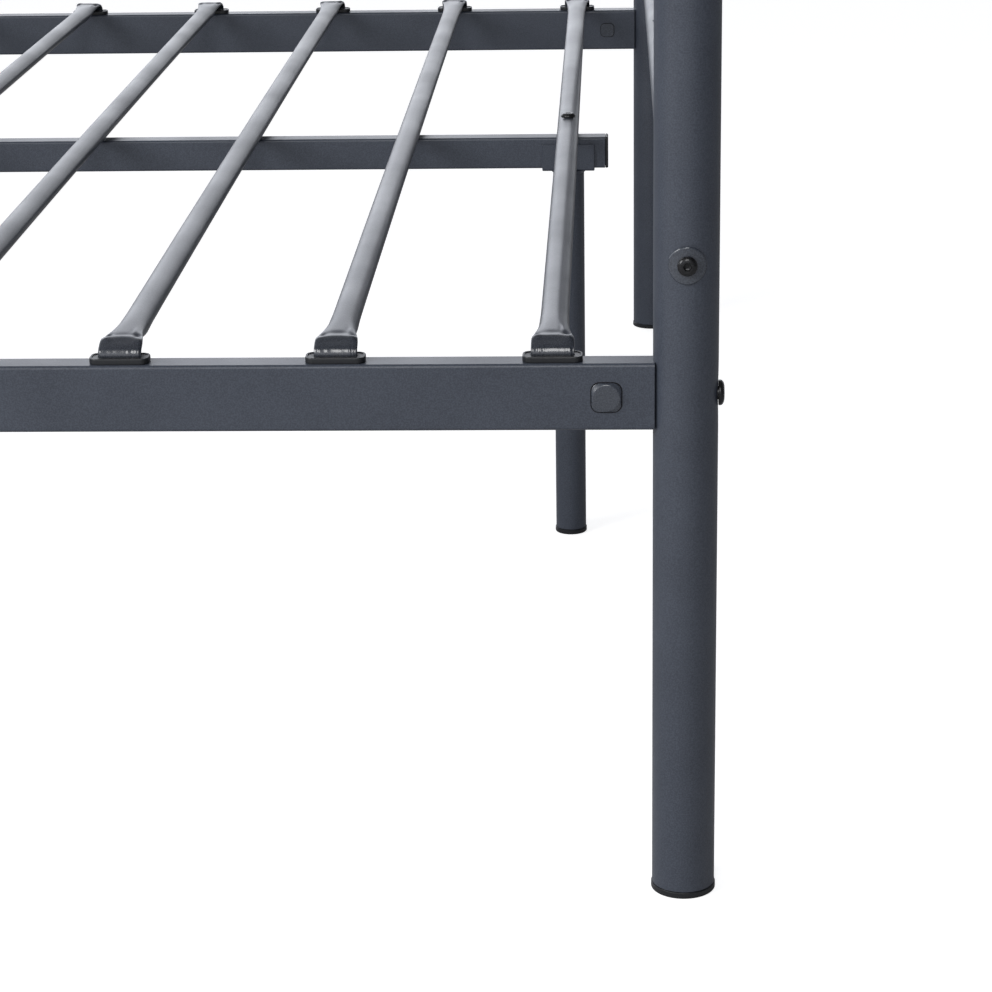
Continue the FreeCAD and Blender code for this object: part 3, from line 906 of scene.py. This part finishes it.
@dataclass
class CentreBeam:
    """The middle rail with its end caps, legs and saddles."""

    legs: int = 3
    corner: float = 2.0 * MM
    weld: float = 2.2 * MM
    plate: float = 2 * MM
    saddle_bend: float = 2.4 * MM
    saddle_edge: float = 0.5 * MM

    def rail_outline(self) -> np.ndarray:
        """The rail's section, in y and z."""
        size = extent("centre_rail")
        return rounded_rectangle(size.y, size.z, self.corner, 6)

    def build_rail(self) -> None:
        """Builds the rail's tube."""
        low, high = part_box("centre_rail")
        centre = middle("centre_rail")
        outline = self.rail_outline()
        rings = []
        for share in np.linspace(0, 1, 19):
            x = low.x + (high.x - low.x) * share
            across, up = centre.y + outline[:, 0], centre.z + outline[:, 1]
            rings.append(np.column_stack([np.full(len(outline), x), across, up]))
        MeshMaker("centre_rail_tube", Slot.FRAME).skin(rings).finish(["centre_rail"])

    def build_end_cap(self, end: End) -> None:
        """Builds the plastic plug in one end of the rail.

        Args:
            end: Which end of the bed.
        """
        node = f"centre_rail_{end.value}_cap"
        out = 1 if end is End.FOOT else -1
        rail_low, rail_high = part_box("centre_rail")
        low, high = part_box(node)
        seat = rail_high.x if out > 0 else rail_low.x
        thick = abs((high.x if out > 0 else low.x) - seat)
        inner = abs((low.x if out > 0 else high.x) - seat)
        size = extent("centre_rail")
        centre = middle("centre_rail")
        bench = Bench(Vector((seat, centre.y, centre.z)), Y_AXIS, Z_AXIS)
        if out < 0:
            bench = Bench(bench.origin, Z_AXIS, Y_AXIS)
            size = Vector((size.x, size.z, size.y))
        soft = 0.5 * MM
        gap = 0.15 * MM
        plug = rounded_rectangle(size.y - 3.4 * MM, size.z - 3.4 * MM, 1 * MM, 6)
        layers = [(plug, -inner), (plug, gap)]
        layers.append((rounded_rectangle(size.y - 2 * soft, size.z - 2 * soft, self.corner - soft / 2, 6), gap))
        layers.append((rounded_rectangle(size.y, size.z, self.corner, 6), gap + soft))
        for step in range(5):
            turn = QUARTER * step / 4
            pull = 2 * soft * (1 - math.cos(turn))
            outline = rounded_rectangle(size.y - 2 * pull, size.z - 2 * pull, self.corner - pull / 2, 6)
            layers.append((outline, thick - 2 * soft + 2 * soft * math.sin(turn)))
        MeshMaker(f"{node}_plug", Slot.PLASTIC).skin(bench.stack(layers)).finish([node])

    def build_leg(self, number: int) -> None:
        """Builds one leg's tube with the weld that joins it to its saddle.

        Args:
            number: The leg's number from the foot end.
        """
        node = f"centre_leg_{number}"
        low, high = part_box(node)
        centre, radius = middle(node), extent(node).x / 2
        bench = Bench(Vector((centre.x, centre.y, 0)), X_AXIS, Y_AXIS)
        layers = [(circle(radius - 0.4 * MM), low.z), (circle(radius), low.z + 0.4 * MM), (circle(radius), high.z)]
        maker = MeshMaker(f"{node}_tube", Slot.FRAME).skin(bench.stack(layers))
        maker.loop_skin(weld_bead(Vector((centre.x, centre.y, high.z)), radius, self.weld, number))
        maker.finish([node])
        build_foot_cap(f"{node}_foot_cap")

    def build_saddle(self, number: int) -> None:
        """Builds the U-shaped plate that cradles the rail, from one outline swept along the rail.

        Args:
            number: The leg's number from the foot end.
        """
        node = f"centre_leg_{number}_saddle"
        low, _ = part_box(node)
        centre, size = middle(node), extent(node)
        half, soft = size.x / 2, self.saddle_edge
        rings = []
        for x, inset in ((-half, soft), (-half + soft, 0.0), (half - soft, 0.0), (half, soft)):
            shape = self.u_outline(size.y - 2 * inset, size.z - 2 * inset, self.plate - 2 * inset)
            rings.append(np.column_stack([
                np.full(len(shape), centre.x + x),
                centre.y + shape[:, 0],
                low.z + inset + shape[:, 1],
            ]))
        MeshMaker(f"{node}_plate", Slot.FRAME).skin(rings).finish([node], crease=40.0)

    def u_outline(self, width: float, height: float, plate: float) -> np.ndarray:
        """The saddle's U section, with its bends rounded.

        Args:
            width: Outside width.
            height: Outside height.
            plate: Thickness of the plate.

        Returns:
            Rows of y and z, with z from 0 at the underside.
        """
        bend = self.saddle_bend
        half = width / 2
        inner = bend - plate + 0.3 * MM
        points = [(half, height), (half - plate, height)]
        points += arc((half - plate - inner, plate + inner), inner, 0, 6, -1)
        points += arc((-half + plate + inner, plate + inner), inner, 3, 6, -1)
        points += [(-half + plate, height), (-half, height)]
        points += arc((-half + bend, bend), bend, 2, 6)
        points += arc((half - bend, bend), bend, 3, 6)
        return np.array(points)

    def build(self) -> None:
        """Builds the whole middle support."""
        self.build_rail()
        for end in End:
            self.build_end_cap(end)
        for number in range(1, self.legs + 1):
            self.build_leg(number)
            self.build_saddle(number)


def weld_bead(centre: Vector, radius: float, size: float, seed: int) -> list[np.ndarray]:
    """Rings of a slightly lumpy weld round the top of an upright tube.

    Args:
        centre: Middle of the tube's end face.
        radius: The tube's radius.
        size: Width and height of the bead.
        seed: Makes each bead a little different.

    Returns:
        Rings whose last joins the first.
    """
    count = 96
    turn = np.arange(count) * (2 * math.pi / count)
    lumps = 1 + 0.10 * np.sin(turn * 23 + seed) + 0.08 * np.sin(turn * 9 + seed * 2)
    rings = []
    for over, under in ((-0.3, 0.0), (1.0, 0.0), (0.75, -0.35), (0.38, -0.72), (0.0, -1.0), (-0.3, -1.0)):
        reach = radius + over * size * (lumps if over > 0 else 1.0)
        height = under * size * (lumps if under < 0 else 1.0)
        rings.append(np.column_stack([
            centre.x + reach * np.cos(turn), centre.y + reach * np.sin(turn), centre.z + height * np.ones(count)
        ]))
    return rings


# --- head and foot panels ---


@dataclass
class EndPanel:
    """The cross tubes and upright spindles between two posts."""

    end: End
    spindles: int = 9
    pitch: float = 135 * MM
    weld: float = 1.8 * MM
    gap: float = 0.4 * MM

    def build_cross(self, node: str) -> None:
        """Builds one cross tube, its ends hollowed to hug the posts.

        Args:
            node: The tube's CAD node.
        """
        centre, radius = middle(node), extent(node).x / 2
        outline = circle(radius, 72)
        post = f"{self.end.value}_post_right"
        hug = extent(post).x / 2 + self.gap
        end_y = middle(post).y - np.sqrt(hug**2 - outline[:, 0] ** 2)
        rings = []
        for share in np.linspace(-1, 1, 15):
            rings.append(np.column_stack([centre.x + outline[:, 0], end_y * share, centre.z + outline[:, 1]]))
        MeshMaker(f"{node}_bar", Slot.FRAME).skin(rings).finish([node])

    def build_spindles(self) -> None:
        """Builds the spindles with the welds at their feet and heads."""
        node = f"{self.end.value}_spindles"
        lower, upper = f"{self.end.value}_lower_cross_tube", f"{self.end.value}_top_rail"
        radius = extent(node).x / 2
        x = middle(node).x
        cross_radius = extent(lower).x / 2
        outline = circle(radius, 48)
        sink = np.sqrt(cross_radius**2 - outline[:, 0] ** 2)
        maker = MeshMaker(f"{node}_bars", Slot.FRAME)
        for i in range(self.spindles):
            y = (i - (self.spindles - 1) / 2) * self.pitch
            foot = middle(lower).z + sink
            head = middle(upper).z - sink
            rings = [np.column_stack([x + outline[:, 0], y + outline[:, 1], z]) for z in (foot, head)]
            maker.skin(rings)
            maker.loop_skin(self.saddle_weld(x, y, radius, foot, 1))
            maker.loop_skin(self.saddle_weld(x, y, radius, head, -1))
        maker.finish([node])

    def saddle_weld(self, x: float, y: float, radius: float, seat: np.ndarray, up: int) -> list[np.ndarray]:
        """Rings of the weld where a spindle meets a round tube.

        Args:
            x: The spindle's axis along the bed.
            y: The spindle's axis across the bed.
            radius: The spindle's radius.
            seat: Height of the joint at each point round the spindle.
            up: +1 at a spindle's foot and -1 at its head.

        Returns:
            Rings whose last joins the first.
        """
        turn = np.arange(len(seat)) * (2 * math.pi / len(seat))
        lumps = 1 + 0.12 * np.sin(turn * 11 + y * 60)
        rings = []
        for over, rise in ((-0.2, 0.4), (0.0, 1.0), (0.35, 0.62), (0.72, 0.3), (1.0, 0.0), (0.6, -0.45)):
            reach = radius + over * self.weld * lumps
            height = seat + up * rise * self.weld
            rings.append(np.column_stack([x + reach * np.cos(turn), y + reach * np.sin(turn), height]))
        return rings

    def build(self) -> None:
        """Builds the panel."""
        self.build_cross(f"{self.end.value}_lower_cross_tube")
        self.build_cross(f"{self.end.value}_top_rail")
        self.build_spindles()


# --- fasteners ---


@dataclass
class Fasteners:
    """Every bolt, nut and washer of the bed."""

    rail_head: tuple[float, float] = (7.5 * MM, 3.4 * MM)
    tube_head: tuple[float, float] = (5.75 * MM, 3.3 * MM)
    rail_socket: float = 5 * MM
    tube_socket: float = 4 * MM
    washer: tuple[float, float] = (11 * MM, 1.2 * MM)
    nut_cap: tuple[float, float] = (17.5 * MM, 2 * MM)
    # How many bands at the nut's foot take the near-black painted shadow.
    shadow_ring_bands: int = 6
    nut_setback: float = 27 * MM
    nut_cover: float = 7 * MM
    rail_shank: float = 4 * MM
    tube_shank: float = 3 * MM
    tube_reach: float = 15 * MM

    def bolt(
        self, maker: MeshMaker, bench: Bench, head: tuple[float, float], socket: float, shank: tuple[float, float]
    ) -> None:
        """Adds one socket bolt: its shank, a domed head and the hexagon sunk in it.

        Args:
            maker: The mesh that gets the bolt.
            bench: Its seat, with up pointing out of the head.
            head: Radius and height of the head.
            socket: Width across the hexagon's flats.
            shank: Radius and length of the shank.
        """
        radius, rise = head
        thick, length = shank
        layers = [(circle(thick - 0.5 * MM), -length), (circle(thick), -length + 0.5 * MM), (circle(thick), 0.0)]
        layers += [(circle(radius - 0.25 * MM), 0.0), (circle(radius), 0.25 * MM), (circle(radius), rise * 0.30)]
        steps = 9
        crown = socket * 0.5 * 1.35
        for step in range(1, steps + 1):
            turn = QUARTER * step / steps
            reach = crown + (radius - crown) * math.cos(turn)
            layers.append((circle(reach), rise * (0.30 + 0.70 * math.sin(turn))))
        layers.append((polygon(socket + 0.5 * MM, 6), rise))
        layers.append((polygon(socket, 6), rise - 0.3 * MM))
        layers += [(polygon(socket, 6), rise * 0.25), (circle(socket * 0.2), rise * 0.05)]
        maker.skin(bench.stack(layers))

    def build_rail_bolts(self) -> None:
        """Builds the bolts that run along the bed into the side rails."""
        z = middle("rail_bolts").z
        maker = MeshMaker("rail_bolts_set", Slot.BOLT)
        for end, out in ((End.HEAD, -1), (End.FOOT, 1)):
            for side in Side:
                post = f"{end.value}_post_{side.value}"
                centre, radius = middle(post), extent(post).x / 2
                bench = Bench(Vector((centre.x + out * radius, centre.y, z)), Y_AXIS * out, Z_AXIS)
                length = radius * 2 + self.nut_setback + self.nut_cover
                self.bolt(maker, bench, self.rail_head, self.rail_socket, (self.rail_shank, length))
        maker.finish(["rail_bolts"], crease=40.0)

    def build_cross_nuts(self) -> None:
        """Builds the square nuts that the rail bolts pull on."""
        low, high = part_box("rail_cross_nuts")
        z = middle("rail_cross_nuts").z
        side, rise = self.nut_cap
        nut_x = (high.x - low.x) / 2 - side / 2
        maker = MeshMaker("rail_cross_nuts_set", Slot.FRAME, (NUT_COAT, SHADOW_RING_PAINT))
        for rail_side, out in ((Side.LEFT, -1), (Side.RIGHT, 1)):
            rail = f"side_rail_{rail_side.value}"
            face = middle(rail).y + out * extent(rail).y / 2
            for along in (-1, 1):
                bench = Bench(Vector((along * nut_x, face, z)), X_AXIS * -out, Z_AXIS)
                layers = self.nut_layers(side, rise, extent(rail).y)
                # The first bands, from the barrel up the foot of the cap, take the near-black paint: a painted
                # shadow round the cap.
                maker.skin(bench.stack(layers), lambda band: int(band < self.shadow_ring_bands))
        maker.finish(["rail_cross_nuts"], crease=50.0)

    def nut_layers(self, side: float, rise: float, rail: float) -> Layers:
        """Outlines of one cross nut, from its inner end out to its capped face.

        Args:
            side: Width of the cap.
            rise: How far the cap stands out of the rail.
            rail: Width of the rail that the barrel goes through.

        Returns:
            (outline, height) layers.
        """
        # This outline, wider than the cap, carries the painted shadow ring at the cap's foot.
        shadow_ring = side + 1.0 * MM
        sizes = [(13 * MM, 3.6 * MM, -rail - 1 * MM), (14 * MM, 4 * MM, -rail - 0.5 * MM), (14 * MM, 4 * MM, 0.0)]
        sizes += [(shadow_ring, 5.4 * MM, 0.02 * MM), (shadow_ring, 5.4 * MM, 0.10 * MM), (side, 5.2 * MM, 0.12 * MM)]
        sizes += [(side, 5.2 * MM, rise * 0.30), (side - 0.4 * MM, 5.4 * MM, rise * 0.42)]
        for radius, height in ((8.3, 0.78), (8.0, 0.92), (7.6, 0.985), (7.1, 1.0), (3.0, 1.0)):
            sizes.append((2 * radius * MM, radius * MM, rise * height))
        layers = [(rounded_rectangle(width, width, corner, 10), height) for width, corner, height in sizes]
        return layers

    def tube_seats(self) -> Iterable[tuple[Vector, int, float]]:
        """Gives each place where a bolt goes through a post into a cross tube."""
        for end in End:
            for node in (f"{end.value}_lower_cross_tube", f"{end.value}_top_rail"):
                for side, out in ((Side.LEFT, -1), (Side.RIGHT, 1)):
                    post = f"{end.value}_post_{side.value}"
                    centre = middle(post)
                    yield Vector((centre.x, centre.y, middle(node).z)), out, extent(post).x / 2

    def build_tube_bolts(self) -> None:
        """Builds the bolts through the posts into the cross tubes, and their dished washers."""
        bolts = MeshMaker("cross_tube_bolts_set", Slot.BOLT)
        washers = MeshMaker("cross_tube_washers_set", Slot.FRAME, (NUT_COAT,))
        _, thick = self.washer
        for axis, out, radius in self.tube_seats():
            seat = axis + Y_AXIS * out * (radius + thick)
            bench = Bench(seat, X_AXIS * -out, Z_AXIS)
            shank = (self.tube_shank, radius * 2 + thick + self.tube_reach)
            self.bolt(bolts, bench, self.tube_head, self.tube_socket, shank)
            washers.loop_skin(self.washer_rings(axis, out, radius))
        bolts.finish(["cross_tube_bolts"], crease=40.0)
        washers.finish(["cross_tube_washers"], crease=50.0)

    def washer_rings(self, axis: Vector, out: int, radius: float) -> list[np.ndarray]:
        """Rings of a washer that follows the post's round wall.

        Args:
            axis: The post's axis at the washer's height.
            out: Outward direction along y.
            radius: The post's radius.

        Returns:
            Rings whose last joins the first.
        """
        outer, thick = self.washer
        bore = 3.3 * MM
        rings = []
        profile = [(bore, 0.02), (outer, 0.02), (outer, 0.6), (outer - 0.35 * MM, 0.9)]
        profile += [(outer - 0.9 * MM, 1.0), (bore + 0.2 * MM, 1.0), (bore, 0.8)]
        for reach, lift in profile:
            flat = circle(reach, 96)
            wall = radius + thick * lift
            depth = np.sqrt(wall**2 - flat[:, 0] ** 2)
            across = axis.x - out * flat[:, 0]
            rings.append(np.column_stack([across, axis.y + out * depth, axis.z + flat[:, 1]]))
        return rings

    def build_slat_bolts(self) -> None:
        """Builds the bolts that tie three slats and the middle rail to its legs."""
        low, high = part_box("slat_bolts")
        rise = self.tube_head[1]
        maker = MeshMaker("slat_bolts_set", Slot.BOLT)
        for number in range(1, 4):
            leg = middle(f"centre_leg_{number}")
            bench = Bench(Vector((leg.x, leg.y, high.z - rise)), X_AXIS, Y_AXIS)
            self.bolt(maker, bench, self.tube_head, self.tube_socket, (self.tube_shank, high.z - rise - low.z))
        maker.finish(["slat_bolts"], crease=40.0)

    def build(self) -> None:
        """Builds every fastener."""
        self.build_rail_bolts()
        self.build_cross_nuts()
        self.build_tube_bolts()
        self.build_slat_bolts()


def dress_cad_nodes(slots: dict[str, Slot]) -> None:
    """Gives the CAD nodes that stay their finishes."""
    for node, slot in slots.items():
        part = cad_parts[node]
        part.data.materials.clear()
        part.data.materials.append(FINISH_OF_SLOT[slot].material())
        log.info("%s: keeps its own mesh", node)


# --- studio ---


@dataclass
class Studio:
    """The floor, the soft lights and the camera."""

    floor_size: float = 30.0
    floor_drop: float = 0.2 * MM
    floor_bounce: float = 0.55
    floor_glow: float = 0.80
    air: tuple[float, float, float, float] = (0.95, 0.98, 1.05, 1)
    camera_from_post: tuple[float, float, float] = (-0.04327, -1.58893, 0.77498)
    yaw: float = -2.4445
    pitch: float = 18.200
    roll: float = -0.9255
    lens: float = 103.23
    sensor: float = 36.0
    by_height: tuple = ((-1.0, 1.0), (0.35, 1.0), (0.6, 0.25), (1.0, 0.15))
    by_side: tuple = ((-1.0, 1.1), (-0.3, 1.95), (0.0, 1.8), (0.2, 1.0), (0.5, 0.4), (1.0, 0.25))
    by_depth: tuple = ((-1.0, 0.5), (0.0, 0.55), (0.6, 1.0), (1.0, 1.0))

    def build_floor(self) -> None:
        """Lays a plain pale floor."""
        half = self.floor_size / 2
        data = bpy.data.meshes.new("studio_floor")
        corners = [(-half, -half), (half, -half), (half, half), (-half, half)]
        data.from_pydata([(x, y, -self.floor_drop) for x, y in corners], [], [(0, 1, 2, 3)])
        material = bpy.data.materials.new("pale_floor")
        material.use_nodes = True
        tree = material.node_tree
        seen = tree.nodes["Principled BSDF"]
        for socket, value in (
            ("Base Color", (0.55, 0.55, 0.555, 1)),
            ("Emission Color", (1, 1, 1, 1)),
            ("Emission Strength", self.floor_glow),
            ("Roughness", 0.9),
            ("Specular IOR Level", 0.0),
        ):
            seen.inputs[socket].default_value = value
        lit = tree.nodes.new("ShaderNodeBsdfDiffuse")
        lit.inputs["Color"].default_value = (self.floor_bounce,) * 3 + (1,)
        path = tree.nodes.new("ShaderNodeLightPath")
        mix = tree.nodes.new("ShaderNodeMixShader")
        tree.links.new(path.outputs["Is Camera Ray"], mix.inputs[0])
        tree.links.new(lit.outputs[0], mix.inputs[1])
        tree.links.new(seen.outputs[0], mix.inputs[2])
        tree.links.new(mix.outputs[0], tree.nodes["Material Output"].inputs["Surface"])
        data.materials.append(material)
        floor = bpy.data.objects.new("studio_floor", data)
        bpy.context.scene.collection.objects.link(floor)

    def build_world(self) -> None:
        """Surrounds the bed with a room: bright behind and to the left, dark overhead and to the right."""
        world = bpy.data.worlds.new("white_room")
        bpy.context.scene.world = world
        world.use_nodes = True
        tree = world.node_tree
        background = tree.nodes["Background"]
        background.inputs["Color"].default_value = self.air
        place = tree.nodes.new("ShaderNodeTexCoord")
        parts = tree.nodes.new("ShaderNodeSeparateXYZ")
        tree.links.new(place.outputs["Generated"], parts.inputs[0])
        level = self._ramp(tree, parts.outputs["Z"], self.by_height)
        sides = self._ramp(tree, parts.outputs["X"], self.by_side)
        depth = self._ramp(tree, parts.outputs["Y"], self.by_depth)
        light = math_of(tree, "MULTIPLY", math_of(tree, "MULTIPLY", level, sides), depth)
        path = tree.nodes.new("ShaderNodeLightPath")
        seen = tree.nodes.new("ShaderNodeMix")
        tree.links.new(path.outputs["Is Camera Ray"], seen.inputs[0])
        tree.links.new(light, seen.inputs[2])
        seen.inputs[3].default_value = 1.0
        tree.links.new(seen.outputs[0], background.inputs["Strength"])

    def _ramp(self, tree: Tree, source: Socket, stops: Sequence[tuple]) -> Socket:
        """Maps -1..1 to the given levels.

        Args:
            tree: The world's node tree.
            source: The value to map.
            stops: (value, level) pairs in rising order.

        Returns:
            The level's socket.
        """
        spread = remap(tree, source, -1.0, 1.0)
        curve = tree.nodes.new("ShaderNodeFloatCurve")
        line = curve.mapping.curves[0]
        curve.mapping.use_clip = False
        places = [((value + 1) / 2, level / 2) for value, level in stops]
        line.points[0].location = places[0]
        line.points[1].location = places[-1]
        for place in places[1:-1]:
            line.points.new(*place)
        curve.mapping.update()
        tree.links.new(spread, curve.inputs["Value"])
        return math_of(tree, "MULTIPLY", curve.outputs[0], 2.0)

    def soft_light(self, name: str, place: Vector, target: Vector, size: tuple[float, float], power: float) -> None:
        """Hangs one large soft light.

        Args:
            name: The light's name.
            place: Where it hangs.
            target: Where it points.
            size: Its width and height.
            power: Its power in watts.
        """
        light = bpy.data.lights.new(name, "AREA")
        light.shape = "RECTANGLE"
        light.size, light.size_y = size
        light.energy = power
        lamp = bpy.data.objects.new(name, light)
        lamp.location = place
        lamp.rotation_euler = (target - place).to_track_quat("-Z", "Y").to_euler()
        bpy.context.scene.collection.objects.link(lamp)

    def build_lights(self) -> None:
        """Hangs the key light at the left and a tall one behind the camera."""
        near = middle("foot_post_left")
        target = Vector((near.x - 0.3, near.y, 0.25))
        self.soft_light("key_light", near + Vector((-2.35, -1.25, 1.45)), target, (1.3, 1.3), 52.0)
        self.soft_light("front_light", near + Vector((-0.15, -2.3, 1.85)), target, (1.0, 1.5), 28.0)

    def build_camera(self) -> None:
        """Sets the camera low in front of the foot end's left post, looking over the slats."""
        low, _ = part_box("foot_post_left_foot_cap")
        post = middle("foot_post_left")
        data = bpy.data.cameras.new("camera")
        data.lens, data.sensor_width = self.lens, self.sensor
        data.clip_start, data.clip_end = 0.05, 100.0
        camera = bpy.data.objects.new("camera", data)
        yaw, pitch, roll = (math.radians(angle) for angle in (self.yaw, self.pitch, self.roll))
        turn = Matrix.Rotation(-yaw, 4, "Z") @ Matrix.Rotation(QUARTER - pitch, 4, "X")
        turn = turn @ Matrix.Rotation(roll, 4, "Z")
        place = Vector((post.x, post.y, low.z)) + Vector(self.camera_from_post)
        camera.matrix_world = Matrix.Translation(place) @ turn
        bpy.context.scene.collection.objects.link(camera)
        bpy.context.scene.camera = camera

    def build(self) -> None:
        """Sets up the whole studio."""
        self.build_floor()
        self.build_world()
        self.build_lights()
        self.build_camera()
        bpy.context.scene.view_settings.view_transform = "Standard"


def main() -> None:
    """Builds every sub-assembly, then the studio."""
    logging.basicConfig(level=logging.INFO, format="%(name)s: %(message)s")
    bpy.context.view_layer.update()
    make_speckle_group()
    make_peel_group()
    make_rub_group()
    for end in End:
        for side in Side:
            Post(end, side).build()
        EndPanel(end).build()
    for side in Side:
        SideRail(side).build()
        SleeveRow(side).build()
    CentreBeam().build()
    for number in range(1, 16):
        Slat(number).build()
    Fasteners().build()
    dress_cad_nodes({
        "cross_tube_inserts": Slot.STEEL,
        "leg_inserts": Slot.STEEL,
        "slat_spacers": Slot.PLASTIC,
    })
    Studio().build()


if __name__ == "__main__":
    main()
